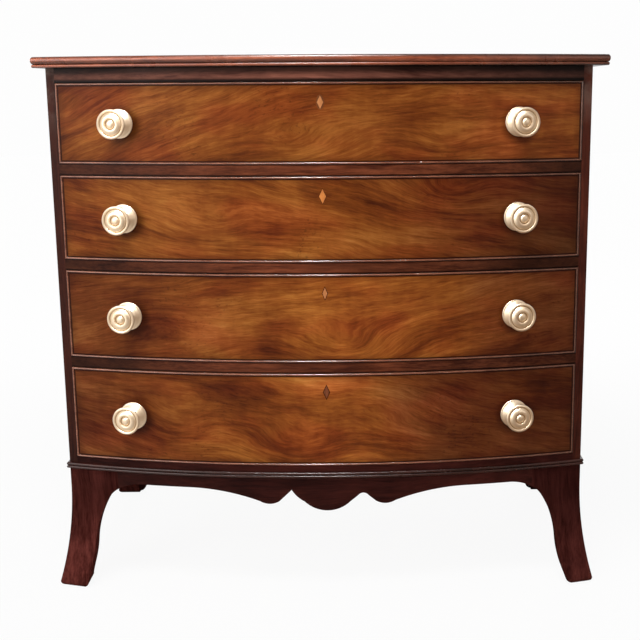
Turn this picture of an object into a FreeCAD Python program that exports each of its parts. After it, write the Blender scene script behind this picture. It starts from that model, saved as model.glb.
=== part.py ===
import FreeCAD, Part
import math
import os

# Bow front chest of four long drawers. Millimetres, +Z up, the front faces -Y.
# The origin is on the floor, at the middle of the overall width and depth.

# ---- case ----
case_width = 920.0            # over the two sides
case_depth = 497.0            # front corner to back
bow_rise = 66.0               # middle of the front, forward of its corners
side_thickness = 15.0
leg_height = 219.5            # floor to the underside of the bottom board
bottom_thickness = 23.0
divider_thickness = 19.0
top_rail_height = 24.0
rail_depth = 70.0             # rails and dividers, back from the front corners
rear_rail_depth = 60.0
housing_depth = 5.0           # tongues of rails and dividers in the sides
housing_setback = 8.0         # the tongues start this far behind the front
back_thickness = 9.0
back_rebate = 8.0             # backboards lapped into each side
back_board_count = 3
back_board_gap = 0.5          # shrinkage gap between backboards

# ---- top board ----
top_overhang = 21.0           # past the front
top_side_overhang = 23.5      # past each side, before the shift
top_shift = 3.0               # the board lies this far right of the middle
upper_reed = 12.6             # height of the upper round of the edge
lower_reed = 5.4              # height of the lower round
lower_reed_inset = 1.2        # the lower round stands back from the upper one
reed_flat = 0.3               # flats above and below each round, over its height

# ---- runners, kickers and dustboards ----
runner_width = 40.0
runner_gap = 12.0             # runners stop short of the backboards
dust_thickness = 8.0
dust_tongue = 7.0             # dustboards in the grooves of dividers and runners

# ---- drawers, from the top one down ----
drawer_names = ["top_drawer", "second_drawer", "third_drawer", "bottom_drawer"]
drawer_heights = [133.0, 143.0, 152.0, 164.0]
side_clearance = 0.8          # drawer to case, each side
under_clearance = 0.3         # drawer to the runner below it
over_clearance = 1.3          # drawer to the rail above it
rear_clearance = 12.0         # drawer to the backboards
front_thickness = 22.0
lining_thickness = 9.0        # drawer sides and backs
lining_drop = 2.0             # sides lower than the front's top edge
back_drop = 8.0               # the drawer back is lower than the sides
drawer_bottom_thickness = 7.0
drawer_bottom_rise = 8.0      # edge of the drawer side to the underside of its bottom
groove_depth = 4.0            # drawer bottom in sides and front
lap = 9.0                     # front left whole before the dovetails
tail_pitch = 38.0             # target spacing of the dovetails
tail_share = 0.62             # tip width of a tail over the spacing
tail_slope = 1.0 / 7.0

# ---- cock beads and inlay ----
bead_thickness = 3.0
bead_depth = 8.0              # side and bottom beads let into the front
bead_proud = 2.0
inlay_width = 12.0
inlay_height = 23.0
inlay_depth = 1.0
inlay_drop = 32.5             # inlay centre below the drawer's top edge
inlay_offsets = [3.2, 5.0, 6.5, 6.7]     # each inlay's place right of the middle, top one first

# ---- knobs ----
knob_spread = 668.0           # between the two knob centres
knob_radius = 24.5
neck_radius = 9.0
knob_length = 38.5            # wood to the crown of the knob
rose_thickness = 2.6
rim_thickness = 4.2           # edge of the front disc
crown_rise = 2.6              # crown past the flat rim
waist_share = 0.45            # narrowest place of the neck, from rose to disc
button_radius = 5.0           # flat middle of the dome
post_radius = 3.0
post_clearance = 0.1
post_tail = 3.0               # post past the nut
nut_across = 13.0             # nut over its flats
nut_thickness = 4.0
nut_clearance = 0.05

# ---- drawer stops and glue blocks ----
stop_width = 40.0
stop_depth = 12.0
stop_height = 6.0
stop_spread = 500.0           # between the two stops of a drawer
stop_clearance = 0.3
block_size = 26.0             # glue blocks, square
corner_block_length = 112.0
rail_block_length = 60.0
front_block_spread = 420.0    # between the outer two blocks behind the front apron

# ---- base moulding ----
moulding_height = 11.0
moulding_depth = 5.0
moulding_round = 2.2          # how far its two rounds stand out of the groove between

# ---- feet and aprons ----
apron_thickness = 20.0
foot_width = 90.0             # foot to apron joint, from the corner
flare = 25.0                  # how far the toes stand out
flare_start = 32.0            # flare begins this far below the case
toe_round_outer = 9.0         # rounded edges of the toe
toe_round_inner = 13.0
toe_inset = 25.7              # inner edge of the toe, in from the corner above
rear_side_extra = 15.0        # the rear feet are this much wider along the sides
rear_back_extra = 6.0         # and along the back
ankle_inset = 43.4
ankle_height = 85.0
knee_inset = 72.2
knee_drop = 50.6              # knee below the case
joint_drop = 33.1             # bracket curve below the case where it meets the apron
apron_height = 21.6           # narrow part of the aprons
apron_offset = 5.8            # the scrolls are cut this far right of the middle
shoulder_run = 45.0           # apron curve from the foot joint
lobe_x = 102.0                # scrolled lobes each side of the middle
lobe_drop = 48.2
lobe_round = 17.0
lobe_sag = 4.8
swell_run = 133.0             # lobe to the narrow part
swell_bulge = 6.3
notch_x = 62.8                # notches each side of the pendant
cusp_drop = 22.1              # the left notch ends in a sharp cusp
notch_drop = 28.0             # the right one is rounded
notch_round = 9.0
notch_sag = 4.5
pendant_drop = 60.0
pendant_round = 40.0
pendant_sag = 16.4

# ---- worked out from the sizes above ----
far = 2000.0                  # longer than anything here, for trimming
half = case_width / 2
inner_half = half - side_thickness
overall_depth = case_depth + bow_rise + top_overhang
corner_y = -overall_depth / 2 + top_overhang + bow_rise
back_y = corner_y + case_depth
bow_radius = (half ** 2 + bow_rise ** 2) / (2 * bow_rise)
bow_centre_y = corner_y + math.sqrt(bow_radius ** 2 - half ** 2)
inside_back_y = back_y - back_thickness
rail_back_y = corner_y + rail_depth
runner_back_y = inside_back_y - runner_gap
case_bottom = leg_height
floor_top = case_bottom + bottom_thickness
drawer_half = inner_half - side_clearance
lining_inner = drawer_half - lining_thickness
drawer_back_y = inside_back_y - rear_clearance
narrow_z = leg_height - apron_height


def drawer_levels():
    # bottom and top of each drawer front, and the top of the highest opening
    levels = []
    z = floor_top
    for height in reversed(drawer_heights):
        levels.insert(0, (z + under_clearance, z + under_clearance + height))
        z += under_clearance + height + over_clearance + divider_thickness
    return levels, z - divider_thickness


levels, rail_bottom = drawer_levels()
case_top = rail_bottom + top_rail_height
top_thickness = upper_reed + lower_reed


def at(x, y, z=0.0):
    return FreeCAD.Vector(x, y, z)


def block(x0, x1, y0, y1, z0, z1):
    return Part.makeBox(x1 - x0, y1 - y0, z1 - z0, at(x0, y0, z0))


def outline(place, start, steps):
    # a closed face: one-point steps are straight, two-point steps are arcs
    edges = []
    here = place(*start)
    for step in steps:
        end = place(*step[-1])
        if len(step) == 1:
            edges.append(Part.LineSegment(here, end).toShape())
        else:
            edges.append(Part.Arc(here, place(*step[0]), end).toShape())
        here = end
    return Part.Face(Part.Wire(edges))


def in_plan(x, y):
    return at(x, y)


def in_front(x, z):
    return at(x, -far / 2, z)


def in_side(y, z):
    return at(0, y, z)


def in_section(out, z):
    # section through the bow: out is measured outward from the front face
    return at(0, bow_centre_y - bow_radius - out, z)


def bow_y(x, out=0.0):
    return bow_centre_y - math.sqrt((bow_radius + out) ** 2 - x ** 2)


def bow_board(half_width, out, back, z0, z1):
    # board with a bowed front edge and a straight back edge
    face = outline(in_plan, (-half_width, bow_y(half_width, out)), [
        ((0, bow_y(0, out)), (half_width, bow_y(half_width, out))),
        ((half_width, back),),
        ((-half_width, back),),
        ((-half_width, bow_y(half_width, out)),)])
    face.translate(at(0, 0, z0))
    return face.extrude(at(0, 0, z1 - z0))


def bow_strip(half_width, out, inner, z0, z1):
    # strip between two arcs that share the bow's centre
    face = outline(in_plan, (-half_width, bow_y(half_width, out)), [
        ((0, bow_y(0, out)), (half_width, bow_y(half_width, out))),
        ((half_width, bow_y(half_width, inner)),),
        ((0, bow_y(0, inner)), (-half_width, bow_y(half_width, inner))),
        ((-half_width, bow_y(half_width, out)),)])
    face.translate(at(0, 0, z0))
    return face.extrude(at(0, 0, z1 - z0))


def bow_sweep(section, half_width):
    # a section drawn by in_section, carried round the bow past +-half_width
    turn = math.degrees(math.asin(half_width / bow_radius)) + 2.0
    centre = at(0, bow_centre_y)
    section.rotate(centre, at(0, 0, 1), -turn)
    return section.revolve(centre, at(0, 0, 1), 2 * turn)


def on_bow(shape, x, z, out=0.0):
    # moves a shape modelled at the origin, facing -Y, to its place on the front
    turn = math.degrees(math.asin(x / bow_radius))
    placed = shape.copy()
    placed.rotate(at(0, 0), at(0, 0, 1), turn)
    reach = bow_radius + out
    angle = math.radians(turn)
    placed.translate(at(reach * math.sin(angle), bow_centre_y - reach * math.cos(angle), z))
    return placed


def mirrored(shape):
    return shape.mirror(at(0, 0), at(1, 0, 0))


def save(node, *solids):
    shape = solids[0] if len(solids) == 1 else Part.makeCompound(list(solids))
    shape.exportStep("parts/" + node + ".step")


def one(shape):
    # the single solid left by a cut
    return shape.removeSplitter().Solids[0]


# ---- top board ----

def top_slab(inset, z0, z1):
    # one reed of the edge: its round worked as three flats
    reach = half + top_side_overhang - inset
    slab = bow_board(reach, top_overhang - inset, back_y, z0, z1)
    softened = []
    for edge in slab.Edges:
        level = edge.BoundBox.ZLength < 0.001
        if level and edge.CenterOfMass.y < back_y - 1.0:
            softened.append(edge)
    return slab.makeChamfer(reed_flat * (z1 - z0), softened)


def make_top():
    seam = case_top + lower_reed
    upper = top_slab(0.0, seam, case_top + top_thickness)
    lower = top_slab(lower_reed_inset, case_top, seam)
    board = one(upper.fuse(lower))
    board.translate(at(top_shift, 0))
    save("top_board", board)


# ---- case sides, rails, dividers ----

def tongues(z0, z1, y_end):
    y_start = bow_y(half) + housing_setback
    right = block(inner_half, inner_half + housing_depth, y_start, y_end, z0, z1)
    return [right, mirrored(right)]


def make_rail(z0, z1):
    rail = bow_board(inner_half, 0.0, rail_back_y, z0, z1)
    return rail.fuse(tongues(z0, z1, rail_back_y))


def dust_board(z):
    reach = inner_half - runner_width + dust_tongue
    low = z + (divider_thickness - dust_thickness) / 2
    return block(-reach, reach, rail_back_y - dust_tongue, runner_back_y, low, low + dust_thickness)


def divider_bottoms():
    return [low - under_clearance - divider_thickness for low, high in levels[:-1]]


def make_dividers():
    names = ["upper_divider", "middle_divider", "lower_divider"]
    boards = []
    runners = []
    for name, z in zip(names, divider_bottoms()):
        board = dust_board(z)
        divider = make_rail(z, z + divider_thickness).cut(board)
        save(name, one(divider))
        runner = block(inner_half - runner_width, inner_half + housing_depth, rail_back_y,
                       runner_back_y, z, z + divider_thickness).cut(board)
        runners += [one(runner), one(mirrored(runner))]
        boards.append(board)
    save("dustboards", *boards)
    kicker = block(inner_half - runner_width, inner_half, rail_back_y,
                   inside_back_y - rear_rail_depth, rail_bottom, rail_bottom + divider_thickness)
    save("drawer_runners_and_kickers", *runners, kicker, mirrored(kicker))


def make_rails():
    save("top_front_rail", one(make_rail(rail_bottom, case_top)))
    rear = block(-inner_half - housing_depth, inner_half + housing_depth,
                 inside_back_y - rear_rail_depth, inside_back_y, rail_bottom, case_top)
    save("top_rear_rail", rear)


def make_bottom():
    board = bow_board(inner_half, 0.0, inside_back_y, case_bottom, floor_top)
    save("bottom_board", one(board.fuse(tongues(case_bottom, floor_top, inside_back_y))))


def make_sides():
    body = bow_board(half, 0.0, back_y, case_bottom, case_top)
    side = body.common(block(inner_half, half, -far, far, case_bottom, case_top))
    cuts = [tongues(case_bottom, floor_top, inside_back_y)[0]]
    for z in divider_bottoms():
        cuts.append(tongues(z, z + divider_thickness, runner_back_y)[0])
    cuts.append(tongues(rail_bottom, case_top, rail_back_y)[0])
    cuts.append(block(inner_half, inner_half + housing_depth, inside_back_y - rear_rail_depth,
                      inside_back_y, rail_bottom, case_top))
    cuts.append(block(inner_half, inner_half + back_rebate, inside_back_y, back_y,
                      case_bottom, case_top))
    right = one(side.cut(cuts))
    save("right_side", right)
    save("left_side", mirrored(right))


def make_backboards():
    reach = inner_half + back_rebate
    width = (2 * reach - (back_board_count - 1) * back_board_gap) / back_board_count
    boards = []
    for n in range(back_board_count):
        x = -reach + n * (width + back_board_gap)
        boards.append(block(x, x + width, inside_back_y, back_y, case_bottom, case_top))
    save("backboards", *boards)


def make_stops():
    stops = []
    shape = block(-stop_width / 2, stop_width / 2, 0, stop_depth, 0, stop_height)
    for low, high in levels:
        for sign in (-1, 1):
            stops.append(on_bow(shape, sign * stop_spread / 2, low - under_clearance,
                                -front_thickness - stop_clearance))
    save("drawer_stops", *stops)


# ---- base moulding ----

def moulding_section(place, z0):
    # two rounds, one above the other, each worked as three flats
    step = moulding_height / 2
    groove = moulding_depth - moulding_round
    steps = [((groove, z0),)]
    for base in (z0, z0 + step):
        steps += [((moulding_depth, base + 0.3 * step),),
                  ((moulding_depth, base + 0.7 * step),),
                  ((groove, base + step),)]
    return outline(place, (0, z0), steps + [((0, z0 + moulding_height),), ((0, z0),)])


def mitre_point(reach):
    # a point on the line that halves the case's front corner
    slope = math.asin(half / bow_radius)
    across = 1 + math.sin(slope)
    forward = math.cos(slope)
    return half + reach * across, corner_y - reach * forward


def make_mouldings():
    x, y = mitre_point(far)
    cut_front = outline(in_plan, (-half, corner_y), [
        ((-x, y),), ((x, y),), ((half, corner_y),), ((-half, corner_y),)]).extrude(at(0, 0, far))
    front = bow_sweep(moulding_section(in_section, case_bottom), half + moulding_depth)
    save("base_moulding_front", one(front.common(cut_front)))

    section = moulding_section(lambda out, z: at(half + out, -far, z), case_bottom)
    run = section.extrude(at(0, far + back_y, 0))
    cut_side = outline(in_plan, (half, corner_y), [
        ((x, y),), ((x, back_y),), ((half, back_y),), ((half, corner_y),)]).extrude(at(0, 0, far))
    right = one(run.common(cut_side))
    save("base_moulding_right", right)
    save("base_moulding_left", mirrored(right))


# ---- feet and aprons ----

def flare_section(place):
    # outward profile of a splayed foot, from its inner face to its flared outside
    start_z = leg_height - flare_start
    drop = start_z - toe_round_outer
    bend = (drop ** 2 + flare ** 2) / (2 * flare)
    mid_z = start_z - drop / 2
    mid_out = bend - math.sqrt(bend ** 2 - (drop / 2) ** 2)
    soft = toe_round_outer * (1 - math.sqrt(0.5))
    return outline(place, (-apron_thickness, 0), [
        ((flare - toe_round_outer, 0),),
        ((flare - soft, soft), (flare, toe_round_outer)),
        ((mid_out, mid_z), (0, start_z)),
        ((0, leg_height),),
        ((-apron_thickness, leg_height),),
        ((-apron_thickness, 0),)])


def foot_curve(extra=0.0):
    # inner edge of a bracket foot as (distance in from the corner, height) steps, floor up
    toe = toe_inset + extra
    start = (toe - toe_round_inner, 0)
    low = (toe, toe_round_inner)
    soft = toe_round_inner * (1 - math.sqrt(0.5))
    ankle = (ankle_inset + extra, ankle_height)
    knee = (knee_inset + extra, leg_height - knee_drop)
    joint = (foot_width + extra, leg_height - joint_drop)
    rise = ankle_height - toe_round_inner
    shin = knee[1] - ankle_height
    steps = [
        ((toe - soft, soft), low),
        ((toe + 0.64 * (ankle[0] - toe), toe_round_inner + 0.47 * rise), ankle),
        ((ankle[0] + 0.4 * (knee[0] - ankle[0]), ankle_height + 0.575 * shin), knee),
        ((knee[0] + 0.47 * (joint[0] - knee[0]), knee[1] + 0.6 * (joint[1] - knee[1])), joint)]
    return start, steps


def foot_face(place, extra=0.0):
    # the bracket's silhouette, closed well outside its outer edge
    start, steps = foot_curve(extra)
    outside = -2 * flare
    joint = steps[-1][-1]
    return outline(place, start, steps + [
        ((joint[0], leg_height),),
        ((outside, leg_height),),
        ((outside, 0),),
        (start,)])


def side_wall(y0, y1):
    wall = flare_section(lambda out, z: at(half + out, y0, z))
    return wall.extrude(at(0, y1 - y0, 0))


def splayed_side():
    # everything inside the flared outer face of the side
    body = flare_section(lambda out, z: at(half + out, -far / 2, z))
    body = body.extrude(at(0, far, 0))
    return body.fuse(block(-far, half - apron_thickness, -far / 2, far / 2, 0, leg_height))


def make_front_feet():
    front = bow_sweep(flare_section(in_section), half + flare)
    shape = foot_face(lambda inset, z: at(half - inset, -far / 2, z)).extrude(at(0, far, 0))
    front = front.common(shape).common(splayed_side())
    inside_bow = bow_board(half + 2 * flare, -apron_thickness, back_y, 0, leg_height)
    flared_front = bow_sweep(flare_section(in_section), half + 2 * flare)
    side = side_wall(corner_y - 3 * flare, corner_y + foot_width)
    profile = foot_face(lambda inset, z: at(0, corner_y + inset, z)).extrude(at(far, 0, 0))
    side = side.common(profile).common(inside_bow.fuse(flared_front))
    right = one(front.fuse(side))
    save("front_right_foot", right)
    save("front_left_foot", mirrored(right))


def make_rear_feet():
    # the rear feet splay to the sides only, and are flat at the back
    side = side_wall(back_y - foot_width - rear_side_extra, back_y)
    profile = foot_face(lambda inset, z: at(0, back_y - inset, z), rear_side_extra)
    profile = profile.extrude(at(far, 0, 0))
    side = side.common(profile)
    board = block(inner_half - foot_width, half + 2 * flare, back_y - apron_thickness, back_y,
                  0, leg_height)
    shape = foot_face(lambda inset, z: at(half - inset, -far / 2, z), rear_back_extra)
    shape = shape.extrude(at(0, far, 0))
    board = board.common(shape).common(splayed_side())
    right = one(side.fuse(board))
    save("rear_right_foot", right)
    save("rear_left_foot", mirrored(right))


def apron_face():
    # outline of the scrolled front apron, from its right end along the bottom
    lobe_z = leg_height - lobe_drop
    notch_z = leg_height - notch_drop
    cusp_z = leg_height - cusp_drop
    pendant_z = leg_height - pendant_drop
    joint_x = half - foot_width
    joint_z = leg_height - joint_drop
    shoulder_x = joint_x - shoulder_run
    shoulder_z = joint_z + 0.7 * (narrow_z - joint_z)
    swell_x = lobe_x + lobe_round + swell_run
    swell_mid = (swell_x - swell_run / 2, (narrow_z + lobe_z + lobe_sag) / 2 + swell_bulge)
    side_z = pendant_z + pendant_sag

    def scrolls(steps):
        return [tuple((x + apron_offset, z) for x, z in step) for step in steps]

    right = scrolls([
        ((swell_x, narrow_z),),
        (swell_mid, (lobe_x + lobe_round, lobe_z + lobe_sag)),
        ((lobe_x, lobe_z), (lobe_x - lobe_round, lobe_z + lobe_sag)),
        ((notch_x + notch_round, notch_z - notch_sag),),
        ((notch_x, notch_z), (notch_x - notch_round, notch_z - notch_sag)),
        ((pendant_round, side_z),)])
    dip = ((notch_x + pendant_round) / 2 + 1.5, (cusp_z + side_z) / 2 - 1.5)
    left = scrolls([
        ((0, pendant_z), (-pendant_round, side_z)),
        ((-dip[0], dip[1]), (-notch_x, cusp_z)),
        ((-lobe_x + lobe_round, lobe_z + lobe_sag),),
        ((-lobe_x, lobe_z), (-lobe_x - lobe_round, lobe_z + lobe_sag)),
        ((-swell_mid[0], swell_mid[1]), (-swell_x, narrow_z))])
    start = [((joint_x - 0.4 * shoulder_run, shoulder_z), (shoulder_x, narrow_z))]
    end = [((-shoulder_x, narrow_z),),
           ((-joint_x + 0.4 * shoulder_run, shoulder_z), (-joint_x, joint_z)),
           ((-joint_x, leg_height),), ((joint_x, leg_height),), ((joint_x, joint_z),)]
    return outline(in_front, (joint_x, joint_z), start + right + left + end)


def make_aprons():
    strip = bow_strip(half - foot_width, 0.0, -apron_thickness, 0, leg_height)
    save("front_apron", one(strip.common(apron_face().extrude(at(0, far, 0)))))

    y0 = corner_y + foot_width
    y1 = back_y - foot_width - rear_side_extra
    joint_z = leg_height - joint_drop
    shoulder_z = joint_z + 0.7 * (narrow_z - joint_z)
    face = outline(in_side, (y0, leg_height), [
        ((y0, joint_z),),
        ((y0 + 0.4 * shoulder_run, shoulder_z), (y0 + shoulder_run, narrow_z)),
        ((y1 - shoulder_run, narrow_z),),
        ((y1 - 0.4 * shoulder_run, shoulder_z), (y1, joint_z)),
        ((y1, leg_height),),
        ((y0, leg_height),)])
    face.translate(at(half - apron_thickness, 0))
    right = face.extrude(at(apron_thickness, 0, 0))
    save("right_side_apron", right)
    save("left_side_apron", mirrored(right))


def make_blocks():
    # rubbed glue blocks: one up each foot's corner, more behind the aprons
    x1 = half - apron_thickness
    x0 = x1 - block_size
    behind_front = bow_y(x0, -apron_thickness)
    corner_front = bow_y(x1, -apron_thickness)
    low = leg_height - corner_block_length
    front_corner = block(x0, x1, behind_front, corner_front + block_size, low, leg_height)
    front_corner = front_corner.common(bow_board(half, -apron_thickness, back_y, 0, leg_height))
    rear_y = back_y - apron_thickness
    rear_corner = block(x0, x1, rear_y - block_size, rear_y, low, leg_height)
    middle_y = (corner_y + back_y) / 2
    beside = block(x1 - apron_thickness, x1, middle_y - rail_block_length / 2,
                   middle_y + rail_block_length / 2, narrow_z, leg_height)
    blocks = []
    for solid in (front_corner, rear_corner, beside):
        blocks += [solid, mirrored(solid)]
    behind = bow_strip(rail_block_length / 2, -apron_thickness, -apron_thickness - block_size,
                       narrow_z, leg_height)
    for share in (-0.5, 0.0, 0.5):
        turn = math.degrees(math.asin(share * front_block_spread / bow_radius))
        piece = behind.copy()
        piece.rotate(at(0, bow_centre_y), at(0, 0, 1), turn)
        blocks.append(piece)
    save("glue_blocks", *blocks)


# ---- drawers ----

def tail_centres(z0, z1):
    count = max(2, round((z1 - z0) / tail_pitch))
    pitch = (z1 - z0) / count
    return [z0 + (n + 0.5) * pitch for n in range(count)], pitch * tail_share


def tails(z0, z1, y_root, y_tip):
    # dovetails across one drawer side, widening from root to tip
    centres, tip = tail_centres(z0, z1)
    narrow = abs(y_tip - y_root) * tail_slope
    solids = []
    for z in centres:
        face = outline(in_side, (y_root, z - tip / 2 + narrow), [
            ((y_tip, z - tip / 2),), ((y_tip, z + tip / 2),),
            ((y_root, z + tip / 2 - narrow),), ((y_root, z - tip / 2 + narrow),)])
        face.translate(at(lining_inner, 0))
        solids.append(face.extrude(at(lining_thickness, 0, 0)))
    return solids


def make_beads(low, high):
    # top bead over the whole thickness of the front, the others let into rebates
    z0 = low + bead_thickness
    z1 = high - bead_thickness
    x0 = drawer_half - bead_thickness
    top = bow_strip(drawer_half, bead_proud, -front_thickness, z1, high)
    bottom = bow_strip(drawer_half, bead_proud, -bead_depth, low, z0)
    upright = bow_strip(drawer_half, bead_proud, -bead_depth, z0, z1)
    upright = one(upright.common(block(x0, drawer_half, -far, far, z0, z1)))
    return [top, bottom, upright, mirrored(upright)]


def make_inlay(x, z):
    wide = inlay_width / 2
    tall = inlay_height / 2
    face = outline(in_front, (x - wide, z), [
        ((x, z - tall),), ((x + wide, z),), ((x, z + tall),), ((x - wide, z),)])
    leaf = bow_strip(inlay_width + abs(x), 0.0, -inlay_depth, z - tall, z + tall)
    return one(leaf.common(face.extrude(at(0, far, 0))))


def knob_solid():
    # spool knob, turned about the Y axis: rose on the wood, waist, domed front disc
    face_out = knob_length - crown_rise
    rim_in = face_out - rim_thickness
    waist_out = rose_thickness + waist_share * (rim_in - rose_thickness)
    post = front_thickness + nut_thickness + post_tail
    section = outline(lambda r, out: at(r, -out), (0, -post), [
        ((post_radius, -post),),
        ((post_radius, 0),),
        ((knob_radius, 0),),
        ((knob_radius, rose_thickness),),
        ((neck_radius, waist_out),),
        ((knob_radius, rim_in),),
        ((knob_radius, face_out),),
        ((button_radius, knob_length),),
        ((0, knob_length),),
        ((0, -post),)])
    return section.revolve(at(0, 0), at(0, 1, 0), 360)


def nut_solid():
    corner = nut_across / math.sqrt(3)
    points = [at(corner * math.cos(math.radians(60 * n)), 0,
                 corner * math.sin(math.radians(60 * n))) for n in range(7)]
    nut = Part.Face(Part.makePolygon(points)).extrude(at(0, nut_thickness, 0))
    hole = Part.makeCylinder(post_radius + nut_clearance, nut_thickness, at(0, 0), at(0, 1, 0))
    nut = nut.cut(hole)
    nut.translate(at(0, nut_clearance))
    return nut


def make_drawer(name, low, high, inlay_x):
    side_top = high - lining_drop
    bottom_z = low + drawer_bottom_rise
    bottom_top = bottom_z + drawer_bottom_thickness
    middle = (low + high) / 2
    knob_places = [-knob_spread / 2, knob_spread / 2]

    # bottom: bowed in front, in grooves of front and sides, nailed under the back
    bottom = bow_board(lining_inner + groove_depth, -front_thickness + groove_depth,
                       drawer_back_y, bottom_z, bottom_top)

    # front, with lapped dovetail sockets, bead rebates, knob holes and the inlay's pocket
    front = bow_strip(drawer_half, 0.0, -front_thickness, low, high)
    beads = make_beads(low, high)
    inlay = make_inlay(inlay_x, high - inlay_drop)
    lap_y = bow_y(drawer_half) + lap
    root_y = bow_y(lining_inner, -front_thickness) + lining_thickness
    sockets = tails(low + bead_thickness, side_top, root_y, lap_y)
    cuts = beads + [inlay, bottom] + sockets + [mirrored(s) for s in sockets]
    hole = Part.makeCylinder(post_radius + post_clearance, 3 * front_thickness,
                             at(0, -front_thickness), at(0, 1, 0))
    for x in knob_places:
        cuts.append(on_bow(hole, x, middle))
    front = one(front.cut(cuts))

    # side: tails into the front and through the back
    side = block(lining_inner, drawer_half, lap_y, drawer_back_y, low, side_top)
    tail_base = drawer_back_y - lining_thickness
    rear_tails = tails(bottom_top, side_top - back_drop, tail_base, drawer_back_y)
    back = block(-drawer_half, drawer_half, tail_base, drawer_back_y,
                 bottom_top, side_top - back_drop)
    back = one(back.cut(rear_tails + [mirrored(s) for s in rear_tails]))
    side = one(side.cut([front, back, bottom] + beads))

    knob = knob_solid()
    nut = nut_solid()
    save(name + "_front", front)
    save(name + "_right_side", side)
    save(name + "_left_side", mirrored(side))
    save(name + "_back", back)
    save(name + "_bottom", bottom)
    save(name + "_cock_beads", *beads)
    save(name + "_inlay", inlay)
    save(name + "_knobs", *[on_bow(knob, x, middle) for x in knob_places])
    save(name + "_knob_nuts", *[on_bow(nut, x, middle, -front_thickness) for x in knob_places])


os.makedirs("parts", exist_ok=True)
make_top()
make_rails()
make_dividers()
make_bottom()
make_sides()
make_backboards()
make_stops()
make_mouldings()
make_front_feet()
make_rear_feet()
make_aprons()
make_blocks()
for drawer, (low, high), inlay_x in zip(drawer_names, levels, inlay_offsets):
    make_drawer(drawer, low, high, inlay_x)
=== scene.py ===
import bpy
import bmesh
import math
from mathutils import Matrix, Vector


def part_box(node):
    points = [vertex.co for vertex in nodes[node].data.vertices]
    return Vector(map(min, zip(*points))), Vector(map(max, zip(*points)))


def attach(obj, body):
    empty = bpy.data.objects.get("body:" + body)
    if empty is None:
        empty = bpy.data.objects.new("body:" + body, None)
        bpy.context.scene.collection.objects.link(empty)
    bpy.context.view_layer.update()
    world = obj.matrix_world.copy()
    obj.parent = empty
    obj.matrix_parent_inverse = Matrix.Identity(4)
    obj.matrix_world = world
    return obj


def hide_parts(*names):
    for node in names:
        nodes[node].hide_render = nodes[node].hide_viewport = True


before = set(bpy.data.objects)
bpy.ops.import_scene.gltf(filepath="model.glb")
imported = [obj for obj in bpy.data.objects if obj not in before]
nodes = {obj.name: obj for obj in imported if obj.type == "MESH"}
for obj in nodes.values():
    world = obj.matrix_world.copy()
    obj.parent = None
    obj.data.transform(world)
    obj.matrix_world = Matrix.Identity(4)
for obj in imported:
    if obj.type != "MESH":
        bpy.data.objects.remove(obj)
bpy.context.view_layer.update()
mm = 0.001

drawerNames = ["top_drawer", "second_drawer", "third_drawer", "bottom_drawer"]

# the bow, read from the case
sideLow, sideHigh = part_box("right_side")
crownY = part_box("upper_divider")[0].y
bowSag = sideLow.y - crownY
bowRadius = (sideLow.x ** 2 + bowSag ** 2) / (2 * bowSag)
bowCentreY = crownY + bowRadius
bowCentre = Vector((0, bowCentreY, 0))
caseHalf = sideHigh.x
backY = sideHigh.y


def bowY(x, out=0.0):
    return bowCentreY - math.sqrt((bowRadius + out) ** 2 - x ** 2)


cameraView = {
    "place": (0.0898, -2.1336, 0.8808),
    "down": 11.537,     # degrees below level
    "turn": 0.247,
    "roll": -0.306,
    "lens": 63.0,       # millimetres, on the sensor's width
    "sensor": 36.0,
    "shift": -0.0924,
}


def placed(name, data):
    made = bpy.data.objects.new(name, data)
    bpy.context.collection.objects.link(made)
    return made


def toMesh(bm, name):
    mesh = bpy.data.meshes.new(name)
    bm.to_mesh(mesh)
    bm.free()
    return mesh


def emptyTree(owner):
    owner.use_nodes = True
    owner.node_tree.nodes.clear()
    return owner.node_tree


def makeCamera():
    down = math.radians(cameraView["down"])
    turn = math.radians(cameraView["turn"])
    ahead = Vector((math.sin(turn) * math.cos(down), math.cos(turn) * math.cos(down), -math.sin(down)))
    right = Vector((math.cos(turn), -math.sin(turn), 0))
    facing = Matrix((right, right.cross(ahead), -ahead)).transposed()
    facing = facing @ Matrix.Rotation(math.radians(cameraView["roll"]), 3, "Z")
    data = bpy.data.cameras.new("camera")
    data.lens = cameraView["lens"]
    data.sensor_width = cameraView["sensor"]
    data.shift_x = cameraView["shift"]
    made = placed("camera", data)
    made.matrix_world = Matrix.Translation(cameraView["place"]) @ facing.to_4x4()
    bpy.context.scene.camera = made


def feed(tree, node, inputs):
    for name, value in inputs.items():
        if isinstance(value, bpy.types.NodeSocket):
            tree.links.new(value, node.inputs[name])
        else:
            node.inputs[name].default_value = value


def addNode(tree, kind, inputs=None, **settings):
    made = tree.nodes.new(kind)
    for name, value in settings.items():
        setattr(made, name, value)
    feed(tree, made, inputs or {})
    return made


def calc(tree, operation, a, b=0.0, clamp=False):
    return addNode(tree, "ShaderNodeMath", {0: a, 1: b}, operation=operation, use_clamp=clamp).outputs[0]


def plus(tree, a, b):
    return calc(tree, "ADD", a, b)


def minus(tree, a, b):
    return calc(tree, "SUBTRACT", a, b)


def times(tree, *values):
    result = values[0]
    for value in values[1:]:
        result = calc(tree, "MULTIPLY", result, value)
    return result


def swung(tree, value, swings):
    # adds noises to a value, each swinging to both sides of nothing
    for noisy, amount in swings:
        value = plus(tree, value, times(tree, minus(tree, noisy, 0.5), amount))
    return value


def mixColour(tree, share, a, b, blend="MIX"):
    made = addNode(tree, "ShaderNodeMix", {0: share, 6: a, 7: b}, data_type="RGBA", blend_type=blend)
    return made.outputs[2]


def tinted(tree, colour, tint):
    return mixColour(tree, 1.0, colour, tint, "MULTIPLY")


def greyOf(tree, level):
    return addNode(tree, "ShaderNodeCombineColor", {0: level, 1: level, 2: level}).outputs[0]


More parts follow.
